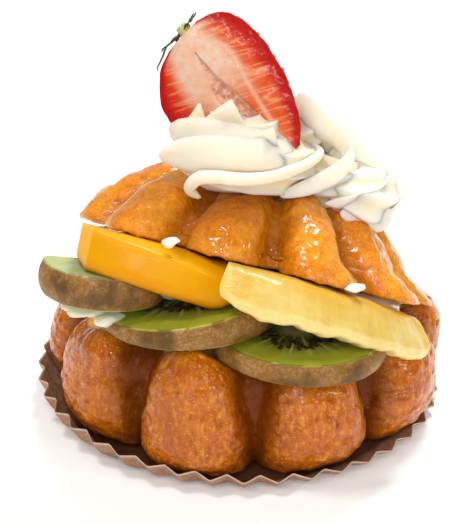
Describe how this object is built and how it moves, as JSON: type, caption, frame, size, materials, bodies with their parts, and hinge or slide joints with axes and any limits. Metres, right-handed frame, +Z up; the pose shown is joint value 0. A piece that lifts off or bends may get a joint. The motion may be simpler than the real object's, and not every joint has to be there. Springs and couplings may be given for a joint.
{
  "type": "rum baba",
  "caption": "Rum baba in a paper case, cut and filled with cream, kiwi, mango and pineapple, topped with whipped cream and half a strawberry.",
  "frame": {"origin": "middle of the footprint, on the floor under the paper case", "axes": "+Z up, -Y toward the side where the filling and fruit show, +X to the right seen from there"},
  "size_m": [0.102, 0.102, 0.1007],
  "materials": {
    "crust": "syrup glaze, glossy",
    "cream": "soft matte",
    "kiwi": "moist",
    "mango": "moist",
    "pineapple": "moist",
    "strawberry": "moist",
    "sepals": "dry leaf",
    "paper": "matte"
  },
  "bodies": {
    "root": {"paper_case": "paper", "baba": "crust", "cream_filling": "cream", "kiwi_slice_left": "kiwi", "kiwi_slice_middle": "kiwi", "kiwi_slice_right": "kiwi", "mango_slice": "mango", "pineapple_slice": "pineapple", "cream_rosette_front": "cream", "cream_rosette_back": "cream", "strawberry_half": "strawberry", "strawberry_calyx": "sepals"}
  },
  "joints": []
}
